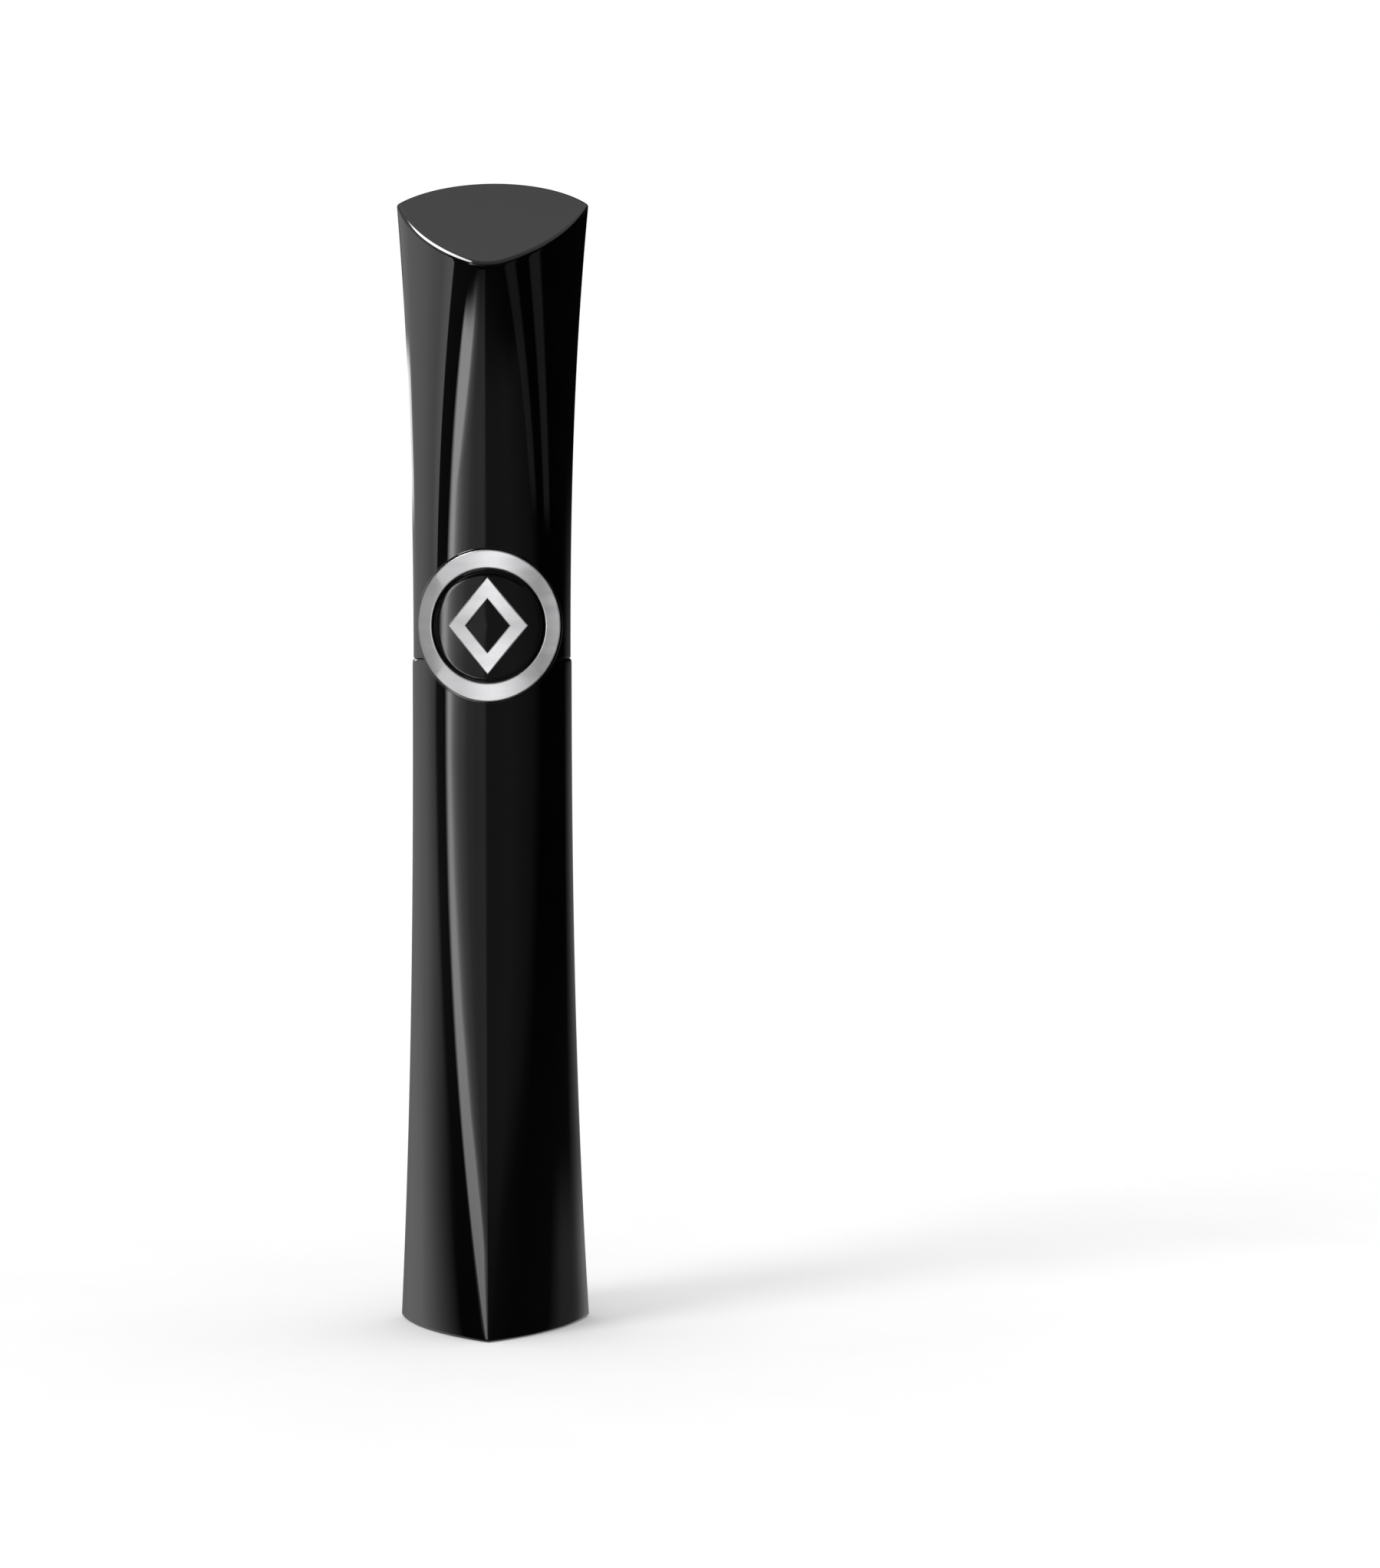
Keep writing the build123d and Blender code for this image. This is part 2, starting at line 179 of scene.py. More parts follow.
def softened(profile, reach, steps=4):
    """Rounds the corners of a (radius, z) profile over a short reach on each side."""
    points = [Vector(p) for p in profile]
    soft = [points[0]]
    for before, corner, after in zip(points, points[1:], points[2:]):
        back = before - corner
        ahead = after - corner
        start = corner + back.normalized() * min(reach, back.length / 2)
        end = corner + ahead.normalized() * min(reach, ahead.length / 2)
        for step in range(steps + 1):
            t = step / steps
            soft.append(start.lerp(corner, t).lerp(corner.lerp(end, t), t))
    return soft + [points[-1]]


def lathe(profile, count=96, parting=0.0):
    """A turned shape closed at both ends on the axis, from (radius, z) points between them."""
    return skin([circle(radius, z, count, parting) for radius, z in profile], True, True)


# ---------------------------------------------------------------- the tube's section
def direction(angle):
    """Unit vector in the section's plane at an angle in degrees."""
    return Vector((math.cos(math.radians(angle)), math.sin(math.radians(angle))))


def section_template():
    """(core point, normal) pairs round the rounded triangle, counter-clockwise from the front corner."""
    corners = [
        Vector((0, CORNER_ROUND - FRONT_REACH)),
        Vector((SIDE_REACH - CORNER_ROUND, SIDE_BACK)),
        Vector((CORNER_ROUND - SIDE_REACH, SIDE_BACK)),
    ]
    sides = []
    for index, reach in enumerate([FLANK_REACH, BACK_REACH, FLANK_REACH]):
        start, end = corners[index], corners[(index + 1) % 3]
        chord = end - start
        normal = Vector((chord.y, -chord.x)).normalized()
        middle = (start + end) / 2
        sagitta = reach - CORNER_ROUND - middle.dot(normal)
        radius = (chord.length ** 2 / 4 + sagitta ** 2) / (2 * sagitta)
        half_turn = math.degrees(math.asin(chord.length / 2 / radius))
        angle = math.degrees(math.atan2(normal.y, normal.x))
        sides.append((middle + normal * (sagitta - radius), radius, angle, half_turn))
    template = []
    for index, points in enumerate([FLANK_POINTS, BACK_POINTS, FLANK_POINTS]):
        centre, radius, angle, half_turn = sides[index]
        for i in range(points):
            normal = direction(angle - half_turn + 2 * half_turn * i / points)
            template.append((centre + normal * radius, normal))
        _, _, next_angle, next_half_turn = sides[(index + 1) % 3]
        first = angle + half_turn
        turn = (next_angle - next_half_turn - first) % 360
        for i in range(CORNER_POINTS):
            template.append((corners[(index + 1) % 3], direction(first + turn * i / CORNER_POINTS)))
    return template


TEMPLATE = section_template()
RING_POINTS = len(TEMPLATE)


def section_point(index, spread, waist, scale=1.0, inset=0.0):
    """One point of the section: on a circle at spread 0, on the rounded triangle at spread 1."""
    core, normal = TEMPLATE[index]
    rounding = waist + (CORNER_ROUND - waist) * spread - inset
    return core * (scale * spread) + normal * rounding


def section_ring(z, spread, waist, scale=1.0, inset=0.0):
    """A level ring of the section."""
    points = [section_point(i, spread, waist, scale, inset) for i in range(RING_POINTS)]
    return [(p.x, p.y, z) for p in points]


def circle_section(radius, z):
    """A round ring with the section's own spacing of points."""
    return section_ring(z, 0, radius)


def quarter(steps):
    """(sine, cosine) pairs of a quarter turn, without its two ends."""
    angles = [math.pi / 2 * (i + 1) / (steps + 1) for i in range(steps)]
    return [(math.sin(a), math.cos(a)) for a in angles]


# ---------------------------------------------------------------- materials
# Noise lies mostly between the first two values. The broad noise varies a surface's shade and gloss.
NOISE_LOW = 0.3
NOISE_HIGH = 0.7
BROAD_SCALE = 180
BROAD_DETAIL = 3
GRAIN_DETAIL = 5
GRAIN_STRENGTH = 0.5


def node_material(name):
    """A material with its node tree and its shader."""
    material = bpy.data.materials.new(name)
    material.use_nodes = True
    tree = material.node_tree
    return material, tree, tree.nodes["Principled BSDF"]


def surface_noise(tree, scale, detail=4.0, stretch=(1, 1, 1)):
    """Noise in the object's own space, so that it stays on the piece as it moves."""
    coords = tree.nodes.new("ShaderNodeTexCoord")
    mapping = tree.nodes.new("ShaderNodeMapping")
    mapping.inputs["Scale"].default_value = stretch
    noise = tree.nodes.new("ShaderNodeTexNoise")
    noise.inputs["Scale"].default_value = scale
    noise.inputs["Detail"].default_value = detail
    tree.links.new(coords.outputs["Object"], mapping.inputs["Vector"])
    tree.links.new(mapping.outputs["Vector"], noise.inputs["Vector"])
    return noise.outputs["Fac"]


def spread_value(tree, value, low, high):
    """Maps a noise value onto a range."""
    node = tree.nodes.new("ShaderNodeMapRange")
    node.inputs["From Min"].default_value = NOISE_LOW
    node.inputs["From Max"].default_value = NOISE_HIGH
    node.inputs["To Min"].default_value = low
    node.inputs["To Max"].default_value = high
    tree.links.new(value, node.inputs["Value"])
    return node.outputs["Result"]


def tint(tree, value, dark, light):
    """Colour between two shades by a noise value."""
    ramp = tree.nodes.new("ShaderNodeValToRGB")
    ramp.color_ramp.elements[0].position = NOISE_LOW
    ramp.color_ramp.elements[1].position = NOISE_HIGH
    ramp.color_ramp.elements[0].color = (*dark, 1)
    ramp.color_ramp.elements[1].color = (*light, 1)
    tree.links.new(value, ramp.inputs["Fac"])
    return ramp.outputs["Color"]


def bump(tree, shader, value, strength, distance_mm):
    """Relief from a height value."""
    node = tree.nodes.new("ShaderNodeBump")
    node.inputs["Strength"].default_value = strength
    node.inputs["Distance"].default_value = distance_mm * MM
    tree.links.new(value, node.inputs["Height"])
    tree.links.new(node.outputs["Normal"], shader.inputs["Normal"])


def moulded(name, dark, light, rough, grain_scale=0, grain_depth=0.0, metallic=0.0, stretch=(1, 1, 1)):
    """A moulded or metal surface: two close shades, uneven gloss and fine relief where it has a grain."""
    material, tree, shader = node_material(name)
    broad = surface_noise(tree, BROAD_SCALE, BROAD_DETAIL, stretch)
    tree.links.new(tint(tree, broad, dark, light), shader.inputs["Base Color"])
    tree.links.new(spread_value(tree, broad, rough[0], rough[1]), shader.inputs["Roughness"])
    shader.inputs["Metallic"].default_value = metallic
    if grain_depth:
        grain = surface_noise(tree, grain_scale, GRAIN_DETAIL, stretch)
        bump(tree, shader, grain, GRAIN_STRENGTH, grain_depth)
    return material


lacquer = moulded("lacquer", (0.0003, 0.0003, 0.0003), (0.0006, 0.0006, 0.0006), (0.015, 0.04))
plate_black = moulded("plate_black", (0.001, 0.001, 0.001), (0.002, 0.002, 0.002), (0.08, 0.12))
metal = moulded(
    "metal", (0.29, 0.29, 0.295), (0.32, 0.32, 0.325), (0.46, 0.5), 9000, 0.0006,
    metallic=1.0, stretch=(1, 1, 6),
)
base_black = moulded("base_black", (0.010, 0.010, 0.010), (0.016, 0.016, 0.017), (0.4, 0.55), 5000, 0.02)
label_film = moulded("label", (0.66, 0.65, 0.62), (0.72, 0.71, 0.68), (0.45, 0.6), 6000, 0.01)
vial_plastic = moulded("vial", (0.008, 0.008, 0.009), (0.014, 0.014, 0.015), (0.12, 0.2), 1500, 0.006)
wiper_soft = moulded("wiper", (0.42, 0.42, 0.42), (0.5, 0.5, 0.5), (0.35, 0.5), 1500, 0.006)
collar_black = moulded("collar", (0.004, 0.004, 0.004), (0.008, 0.008, 0.008), (0.12, 0.2), 1500, 0.004)
liner_plastic = moulded("liner", (0.012, 0.012, 0.012), (0.02, 0.02, 0.02), (0.3, 0.42), 2500, 0.01)
gasket_foam = moulded("gasket", (0.5, 0.5, 0.48), (0.6, 0.6, 0.58), (0.6, 0.8), 5000, 0.04)
stem_plastic = moulded("stem", (0.004, 0.004, 0.004), (0.008, 0.008, 0.008), (0.14, 0.22), 1800, 0.004)
brush_rubber = moulded("brush", (0.008, 0.008, 0.008), (0.016, 0.016, 0.016), (0.45, 0.6), 4000, 0.01)


# ---------------------------------------------------------------- bottle shell
def bottle_rings():
    """From the shoulder's hole over the outside, under the foot and up the cavity."""
    top = SEAM_Z - SHOULDER_DROP
    cavity_top = SEAM_Z - DECK
    rings = [circle_section(NECK_HOLE_R, SEAM_Z)]
    rings.append(circle_section(WAIST_R - SHOULDER_STEP, SEAM_Z))
    for up, out in reversed(quarter(7)):
        rings.append(circle_section(WAIST_R - SHOULDER_STEP * (1 - out), top + SHOULDER_DROP * up))
    for level in range(BOTTLE_LEVELS + 1):
        fraction = level / BOTTLE_LEVELS
        z = top + (BASE_EDGE - top) * fraction
        rings.append(section_ring(z, fraction ** FLARE_POWER, WAIST_R))
    for down, out in quarter(5):
        rings.append(section_ring(BASE_EDGE * (1 - down), 1, WAIST_R, inset=BASE_EDGE * (1 - out)))
    rings.append(section_ring(0, 1, WAIST_R, inset=BASE_EDGE))
    for level in range(CAVITY_LEVELS + 1):
        fraction = 1 - level / CAVITY_LEVELS
        z = cavity_top * (1 - fraction)
        rings.append(section_ring(z, fraction ** FLARE_POWER, WAIST_R - WALL, CAVITY_SCALE))
    rings.append(circle_section(NECK_HOLE_R, cavity_top))
    return rings


verts, faces = skin(bottle_rings(), loop=True)
make_piece("bottle_shell_skin", verts, faces, "bottle", lacquer, ["bottle_shell"])


# ---------------------------------------------------------------- cap shell
def cap_point(index, z):
    """A point of the cap's outer surface at height z."""
    fraction = max(0.0, (z - RIM_Z) / (SIDE_TOP_Z - RIM_Z))
    point = section_point(index, fraction ** FLARE_POWER, CAP_WAIST_R, CAP_SCALE)
    return Vector((point.x, point.y, z))


def top_plane_height(y):
    """Height of the slanted top at depth y."""
    return SIDE_TOP_Z + TOP_SLOPE * (y - SIDE_BACK)


def cap_top_height(index):
    """Height at which a line of the flank meets the slanted top, closing in on it step by step."""
    z = SIDE_TOP_Z
    for _ in range(40):
        z = top_plane_height(cap_point(index, z).y)
    return z


def swollen(point):
    """A point of the cap's flank, raised under the emblem's disc to carry it."""
    across = math.atan2(point.x, -point.y) * PLATE_OUTER_R
    away = math.hypot(across / PLATE_HALF_WIDTH, (point.z - EMBLEM_Z) / PLATE_HALF_HEIGHT)
    lift = SWELL_HEIGHT * step_up(-away, -SWELL_REACH, -SWELL_FULL)
    level = Vector((point.x, point.y, 0)).normalized()
    return point + level * lift


def cap_edge():
    """The three rings behind the rounded top edge: on the flank, at the sharp edge and on the top."""
    tops = [cap_top_height(i) for i in range(RING_POINTS)]
    sharp = [cap_point(i, tops[i]) for i in range(RING_POINTS)]
    plane_normal = Vector((0, -TOP_SLOPE, 1)).normalized()
    low, inner = [], []
    for i in range(RING_POINTS):
        along = sharp[(i + 1) % RING_POINTS] - sharp[i - 1]
        down = (cap_point(i, tops[i] - FLANK_PROBE) - sharp[i]).normalized()
        low.append(sharp[i] + down * TOP_EDGE)
        inner.append(sharp[i] + plane_normal.cross(along).normalized() * TOP_EDGE)
    return low, sharp, inner


def cap_rings():
    """From the bore's end down to the rim, up the outside, over the top edge and across the top."""
    step_z = liner_low.z
    rim_inner_r = CAP_WAIST_R - RIM_WALL
    rings = [
        circle_section(CAP_BORE_TOP_R, CAP_BORE_TOP_Z),
        circle_section(CAP_BORE_LOW_R, step_z + CAP_BORE_STEP),
        circle_section(rim_inner_r, step_z),
        circle_section(rim_inner_r, RIM_Z),
    ]
    for down, out in reversed(quarter(5)):
        rings.append(circle_section(CAP_WAIST_R - RIM_EDGE * (1 - out), RIM_Z + RIM_EDGE * (1 - down)))
    low, sharp, inner = cap_edge()
    start = RIM_Z + RIM_EDGE
    for level in range(CAP_LEVELS + 1):
        fraction = level / CAP_LEVELS
        heights = [start + (point.z - start) * fraction for point in low]
        rings.append([tuple(swollen(cap_point(i, z))) for i, z in enumerate(heights)])
    for step in range(1, TOP_EDGE_STEPS + 1):
        t = step / TOP_EDGE_STEPS
        a, b, c = (1 - t) ** 2, 2 * t * (1 - t) * TOP_EDGE_WEIGHT, t ** 2
        rings.append([tuple((p * a + q * b + r * c) / (a + b + c)) for p, q, r in zip(low, sharp, inner)])
    middle = Vector((0, TOP_MIDDLE_Y, top_plane_height(TOP_MIDDLE_Y)))
    for share in TOP_SHARES:
        rings.append([tuple(middle + (p - middle) * share) for p in inner])
    return rings


verts, faces = skin(cap_rings(), start_cap=True, end_cap=True)
faces = flipped(faces)
make_piece("cap_shell_skin", verts, faces, "cap", lacquer, ["cap_shell"])


# ---------------------------------------------------------------- emblem
RING_HEIGHT = 0.6
BEVEL = 0.14
RING_OUTER = (ring_high.x, (ring_high.z - ring_low.z) / 2)
RING_BAND = (1.62, 2.1)
RING_INNER = (RING_OUTER[0] - RING_BAND[0], RING_OUTER[1] - RING_BAND[1])
RING_COUNT = 160
PLATE_EDGE = 0.12
PAD_GAP = 0.3
PAD_EDGE = 0.35
PAD_HEIGHT = 0.22
PAD_FOOT = 0.05
PAD_SHARES = [0.02, 0.25, 0.5, 0.75, 0.9]


def wrapped(x, z, radius):
    """A point of the front plane carried back onto a cylinder round the tube's axis."""
    return (x, -math.sqrt(radius ** 2 - x ** 2), EMBLEM_Z + z)


def ellipse_ring(half_width, half_height, radius, count=144):
    """The emblem's oval on a cylinder."""
    step = 2 * math.pi / count
    turns = [i * step for i in range(count)]
    return [wrapped(half_width * math.cos(turn), half_height * math.sin(turn), radius) for turn in turns]


def plate_rings():
    """The black disc: a raised pad inside the ring, the face round it, the rounded edge and the back."""
    rings = []
    pad_width = RING_INNER[0] - PAD_GAP
    pad_height = RING_INNER[1] - PAD_GAP
    for share in PAD_SHARES:
        rings.append(ellipse_ring(pad_width * share, pad_height * share, PLATE_OUTER_R + PAD_HEIGHT))
    for up, out in reversed(quarter(6)):
        inset = PAD_EDGE * (1 - out)
        radius = PLATE_OUTER_R + PAD_HEIGHT * up
        rings.append(ellipse_ring(pad_width - inset, pad_height - inset, radius))
    rings.append(ellipse_ring(pad_width + PAD_FOOT, pad_height + PAD_FOOT, PLATE_OUTER_R))
    for out, up in quarter(5):
        inset = PLATE_EDGE * (1 - out)
        radius = PLATE_OUTER_R - PLATE_EDGE * (1 - up)
        rings.append(ellipse_ring(PLATE_HALF_WIDTH - inset, PLATE_HALF_HEIGHT - inset, radius))
    rings.append(ellipse_ring(PLATE_HALF_WIDTH, PLATE_HALF_HEIGHT, PLATE_OUTER_R - PLATE_EDGE))
    for share in [1, 0.5, 0.02]:
        rings.append(ellipse_ring(PLATE_HALF_WIDTH * share, PLATE_HALF_HEIGHT * share, PLATE_INNER_R))
    return rings


verts, faces = skin(plate_rings(), start_cap=True, end_cap=True)
make_piece("emblem_disc", verts, faces, "cap", plate_black, ["emblem_plate"])


def raised_band(inner, outer, count):
    """Rings of a flat band with bevelled edges; inner and outer give the front-plane outline."""
    rise = [(0, 0), (0, RING_HEIGHT - BEVEL)]
    rise += [(BEVEL * (1 - out), RING_HEIGHT - BEVEL * (1 - up)) for up, out in reversed(quarter(2))]
    rise.append((BEVEL, RING_HEIGHT))
    rings = []
    for start, end, profile in [(inner, outer, rise), (outer, inner, reversed(rise))]:
        for offset, height in profile:
            ring = []
            for i in range(count):
                edge = Vector(start(i))
                point = edge + (Vector(end(i)) - edge).normalized() * offset
                ring.append(wrapped(point.x, point.y, PLATE_OUTER_R + height))
            rings.append(ring)
    return rings


def oval(axes):
    """Outline function of an oval."""
    step = 2 * math.pi / RING_COUNT
    return lambda i: (axes[0] * math.cos(i * step), axes[1] * math.sin(i * step))


verts, faces = skin(raised_band(oval(RING_INNER), oval(RING_OUTER), RING_COUNT), loop=True)
faces = flipped(faces)
ring = make_piece("emblem_ring_metal", verts, faces, "cap", metal, ["emblem_ring"], sharp=25)

LOZENGE_HALF = (lozenge_high.x, (lozenge_high.z - lozenge_low.z) / 2)
LOZENGE_STROKE = 1.6
LOZENGE_SIDE_POINTS = 20


def lozenge(half_width, half_height):
    """Outline function of an upright lozenge."""
    right, top = Vector((half_width, 0)), Vector((0, half_height))
    tips = [right, top, -right, -top]

    def point(i):
        side, step = divmod(i, LOZENGE_SIDE_POINTS)
        return tips[side].lerp(tips[(side + 1) % 4], step / LOZENGE_SIDE_POINTS)

    return point


inner_width = LOZENGE_HALF[0] - LOZENGE_STROKE * math.hypot(1, LOZENGE_HALF[0] / LOZENGE_HALF[1])
inner_lozenge = lozenge(inner_width, inner_width * LOZENGE_HALF[1] / LOZENGE_HALF[0])
outer_lozenge = lozenge(*LOZENGE_HALF)
verts, faces = skin(raised_band(inner_lozenge, outer_lozenge, 4 * LOZENGE_SIDE_POINTS), loop=True)
faces = flipped(faces)
diamond = make_piece(
    "emblem_lozenge_metal", verts, faces, "cap", metal, ["emblem_lozenge"], sharp=25
)

# ---------------------------------------------------------------- stem
STEM_R = 2.24
STEM_TIP_R = 1.85
STEM_TIP_LENGTH = 3.6
RELIEF_R = 2.1
RELIEF_Z = (65.2, 73.3)
RELIEF_RAMP = 0.6
STEM_FLANGE_R = stem_high.x
STEM_FLANGE_Z = (92.2, 93.1)
STEM_PLUG_R = 2.2
STEM_END_R = 0.3
STEM_SOFTNESS = 0.3
PARTING_LINE = 0.03

stem_profile = [
    (STEM_END_R, stem_low.z),
    (STEM_TIP_R, stem_low.z),
    (STEM_R, stem_low.z + STEM_TIP_LENGTH),
    (STEM_R, RELIEF_Z[0]),
    (RELIEF_R, RELIEF_Z[0] + RELIEF_RAMP),
    (RELIEF_R, RELIEF_Z[1] - RELIEF_RAMP),
    (STEM_R, RELIEF_Z[1]),
    (STEM_R, STEM_FLANGE_Z[0]),
    (STEM_FLANGE_R, STEM_FLANGE_Z[0]),
    (STEM_FLANGE_R, STEM_FLANGE_Z[1]),
    (STEM_PLUG_R, STEM_FLANGE_Z[1]),
    (STEM_PLUG_R, stem_high.z),
    (STEM_END_R, stem_high.z),
]
verts, faces = lathe(softened(stem_profile, STEM_SOFTNESS), parting=PARTING_LINE)
make_piece("stem_rod", verts, faces, "cap", stem_plastic, ["stem"], sharp=50)

# ---------------------------------------------------------------- brush
BRISTLE_ROWS = 50
BRISTLES_PER_ROW = 10
FIELD_Z = (5.0, 32.4)
BRISTLE_ROOT_R = 0.2
BRISTLE_TIP_R = 0.07
BRISTLE_TILT = 4
LONG_WAIST_R = 3.13
LONG_TIP_FLARE = 0.52
LONG_ROOT_FLARE = 1.04
SHORT_MIDDLE_R = 3.1
SHORT_DROP = 0.92
RAMP_START = 0.58
RAMP_RATE = 3.5
CORE_TIP_R = 0.76
CORE_ROOT_R = 1.26
CORE_END_R = 0.2
CORE_SOFTNESS = 0.35
CORE_COUNT = 48
SOCKET_DEPTH = 0.2
ROOT_SHARE = 0.9

# A bristle's rings: (share of its length, share of BRISTLE_ROOT_R).
BRISTLE_SIDES = 6
BRISTLE_RINGS = [(0, 1.5), (0.06, 1), (0.5, 0.62), (0.97, BRISTLE_TIP_R / BRISTLE_ROOT_R), (1, 0.15)]


def long_reach(place):
    """Tip radius of the long bristles: waisted along the field, with a short ramp at its end."""
    offset = 2 * place - 1
    flared = LONG_TIP_FLARE if offset < 0 else LONG_ROOT_FLARE
    return (LONG_WAIST_R + flared * offset ** 2) * min(1, RAMP_START + RAMP_RATE * place)


def short_reach(place):
    """Tip radius of the short bristles: barrel-shaped along the field."""
    return SHORT_MIDDLE_R - SHORT_DROP * (2 * place - 1) ** 2


def bristle(angle, z, root, reach):
    """A tapered bristle with a round tip, leaning a little towards the brush's tip."""
    lean = math.radians(BRISTLE_TILT)
    out = Vector((math.cos(angle) * math.cos(lean), math.sin(angle) * math.cos(lean), -math.sin(lean)))
    side = Vector((-math.sin(angle), math.cos(angle), 0))
    up = out.cross(side)
    start = Vector((math.cos(angle), math.sin(angle), 0)) * root + Vector((0, 0, z))
    length = reach - root
    rings = []
    for along, thick in BRISTLE_RINGS:
        centre = start + out * (length * along)
        ring = []
        for i in range(BRISTLE_SIDES):
            turn = 2 * math.pi / BRISTLE_SIDES * i
            ring.append(centre + (side * math.cos(turn) - up * math.sin(turn)) * (BRISTLE_ROOT_R * thick))
        rings.append([tuple(p) for p in ring])
    return skin(rings, end_cap=True)


def brush_mesh():
    """The core and its two interleaved families of bristles in one moulding."""
    core = [
        (CORE_END_R, brush_low.z),
        (CORE_TIP_R, brush_low.z),
        (CORE_ROOT_R, FIELD_Z[1]),
        (CORE_ROOT_R, stem_low.z),
        (CORE_END_R, stem_low.z + SOCKET_DEPTH),
    ]
    verts, faces = lathe(softened(core, CORE_SOFTNESS), CORE_COUNT)
    for row in range(BRISTLE_ROWS):
        place = (row + 0.5) / BRISTLE_ROWS
        z = FIELD_Z[0] + (FIELD_Z[1] - FIELD_Z[0]) * place
        root = (CORE_TIP_R + (CORE_ROOT_R - CORE_TIP_R) * place) * ROOT_SHARE
        reach = short_reach(place) if row % 2 else long_reach(place)
        for i in range(BRISTLES_PER_ROW):
            angle = 2 * math.pi * (i + 0.5 * (row % 2)) / BRISTLES_PER_ROW
            more_verts, more_faces = bristle(angle, z, root, reach)
            offset = len(verts)
            verts += more_verts
            faces += [tuple(index + offset for index in face) for face in more_faces]
    return verts, faces


verts, faces = brush_mesh()
make_piece("brush_moulding", verts, faces, "cap", brush_rubber, ["brush"], sharp=50)

# ---------------------------------------------------------------- carried-over CAD nodes
CAD_MATERIALS = {
    "base_plate": base_black,
    "base_label": label_film,
    "vial": vial_plastic,
    "wiper": wiper_soft,
    "neck_collar": collar_black,
    "inner_cap": liner_plastic,
    "gasket": gasket_foam,
}
for node, material in CAD_MATERIALS.items():
    for material_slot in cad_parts[node].material_slots:
        material_slot.material = material

# ---------------------------------------------------------------- floor
FLOOR_REACH_M = 6.0
FLOOR_DARK = (0.90, 0.90, 0.90)
FLOOR_LIGHT = (0.92, 0.92, 0.92)
FLOOR_GRAIN = 40

floor_mesh = bpy.data.meshes.new("floor")
floor_corners = [(x * FLOOR_REACH_M, y * FLOOR_REACH_M, 0) for x, y in [(-1, -1), (1, -1), (1, 1), (-1, 1)]]
floor_mesh.from_pydata(floor_corners, [], [(0, 1, 2, 3)])
floor = bpy.data.objects.new("floor", floor_mesh)
bpy.context.collection.objects.link(floor)
floor_material, floor_tree, floor_shader = node_material("floor_paper")
floor_shader.inputs["Roughness"].default_value = 0.9
floor_shader.inputs["Specular IOR Level"].default_value = 0.1
floor_shade = tint(floor_tree, surface_noise(floor_tree, FLOOR_GRAIN), FLOOR_DARK, FLOOR_LIGHT)
floor_tree.links.new(floor_shade, floor_shader.inputs["Base Color"])
floor_mesh.materials.append(floor_material)
floor.visible_glossy = False


# ---------------------------------------------------------------- light
# (name, azimuth, size in metres, power)
EMBLEM_LAMPS = [("emblem_light", 6, 0.30, 2.2), ("emblem_fill", 84, 0.26, 1.3)]
EMBLEM_LAMP_ELEVATION = 6
EMBLEM_LAMP_DISTANCE_M = 0.34


def outward(azimuth, elevation):
    """Unit vector away from the tube; azimuth 0 is the front, 90 the right."""
    a, e = math.radians(azimuth), math.radians(elevation)
    return Vector((math.sin(a) * math.cos(e), -math.cos(a) * math.cos(e), math.sin(e)))


def add_lamp(light, back):
    """Puts a light in the scene, shining against the direction it is seen in."""
    lamp = bpy.data.objects.new(light.name, light)
    bpy.context.collection.objects.link(lamp)
    lamp.rotation_mode = "QUATERNION"
    lamp.rotation_quaternion = back.to_track_quat("Z", "Y")
    return lamp


def area_light(name, azimuth, size, power):
    """A soft round light aimed at the seam, with its size in metres."""
    light = bpy.data.lights.new(name, "AREA")
    light.shape = "DISK"
    light.size = size
    light.energy = power
    back = outward(azimuth, EMBLEM_LAMP_ELEVATION)
    lamp = add_lamp(light, back)
    lamp.location = back * EMBLEM_LAMP_DISTANCE_M + Vector((0, 0, SEAM_Z * MM))
    lamp.visible_camera = False
    return lamp


def sun(azimuth, elevation, strength, angle):
    """A soft sun for the shadow on the floor; reflections do not see it."""
    light = bpy.data.lights.new("sun", "SUN")
    light.energy = strength
    light.angle = math.radians(angle)
    add_lamp(light, outward(azimuth, elevation)).visible_glossy = False


sun(azimuth=-50, elevation=42, strength=0.9, angle=20)

# The emblem's metal has two soft lights of its own, so that its face shows bright and its sides fall away.
lit = bpy.data.collections.new("emblem_metal")
for piece in [ring, diamond]:
    lit.objects.link(piece)
for name, azimuth, size, power in EMBLEM_LAMPS:
    area_light(name, azimuth, size, power).light_linking.receiver_collection = lit

# ---------------------------------------------------------------- reflector wall
WALL_R = 150
WALL_Z = (-160, 240)
WALL_ROW = 1.0
WALL_COLUMNS = 720
ROOM_DARK = 0.004

# Above LIFTED_FROM the wall repeats, fainter, what the closed cap sees LIFT lower down.
LIFTED_FROM = 152
LIFT = 105
LIFTED_SHARE = 0.6

# The front's lights end at this height, which rises with the square of the azimuth.
FRONT_TOP_Z = 95.5
FRONT_TOP_RISE = 0.0045


def curve(x, points):
    """Straight runs between (x, value) points, level beyond the first and the last."""
    if x <= points[0][0]:
        return points[0][1]
    for (x0, y0), (x1, y1) in zip(points, points[1:]):
        if x <= x1:
            return y0 + (y1 - y0) * (x - x0) / (x1 - x0)
    return points[-1][1]


def front_top(azimuth):
    """Height at which the front's lights end."""
    return FRONT_TOP_Z + FRONT_TOP_RISE * azimuth ** 2


